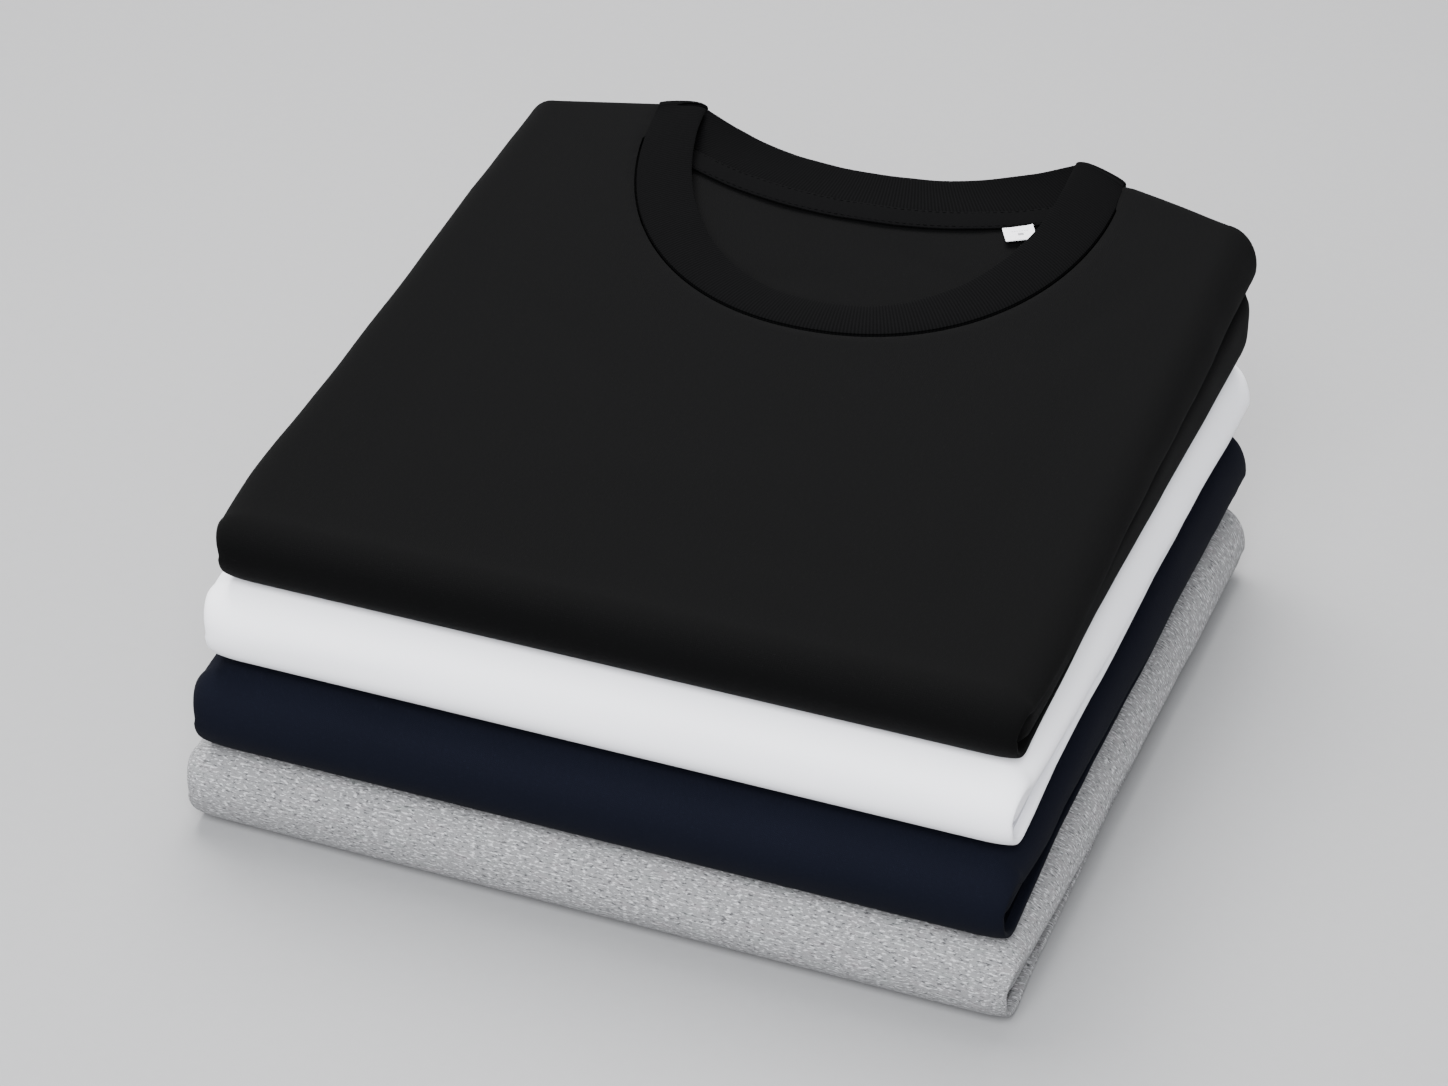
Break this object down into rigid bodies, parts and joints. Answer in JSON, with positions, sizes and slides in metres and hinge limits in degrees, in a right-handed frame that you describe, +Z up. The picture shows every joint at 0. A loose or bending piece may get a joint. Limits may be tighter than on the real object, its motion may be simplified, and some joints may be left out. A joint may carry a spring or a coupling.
{
  "type": "stack of folded t-shirts",
  "caption": "Stack of folded crew-neck t-shirts with rounded front folds, side lips and a rib-collared neck showing on the top one.",
  "frame": {"origin": "middle of the box round the whole stack, on the surface it lies on", "axes": "+X to the right along the front folds, +Y back towards the neck, +Z up"},
  "size_m": [0.3024, 0.3044, 0.1511],
  "materials": {
    "grey_jersey": "heather grey cotton jersey",
    "navy_jersey": "navy cotton jersey",
    "white_jersey": "white cotton jersey",
    "black_jersey": "black cotton jersey",
    "black_rib": "black rib knit",
    "black_tape": "black herringbone tape",
    "label_satin": "white woven satin"
  },
  "bodies": {
    "root": {"grey_front": "grey_jersey", "grey_layers": "grey_jersey", "navy_front": "navy_jersey", "navy_layers": "navy_jersey", "white_front": "white_jersey", "white_layers": "white_jersey", "black_front": "black_jersey", "black_layers": "black_jersey", "black_back": "black_jersey", "black_collar": "black_rib", "black_neck_tape": "black_tape", "black_size_label": "label_satin"}
  },
  "joints": []
}
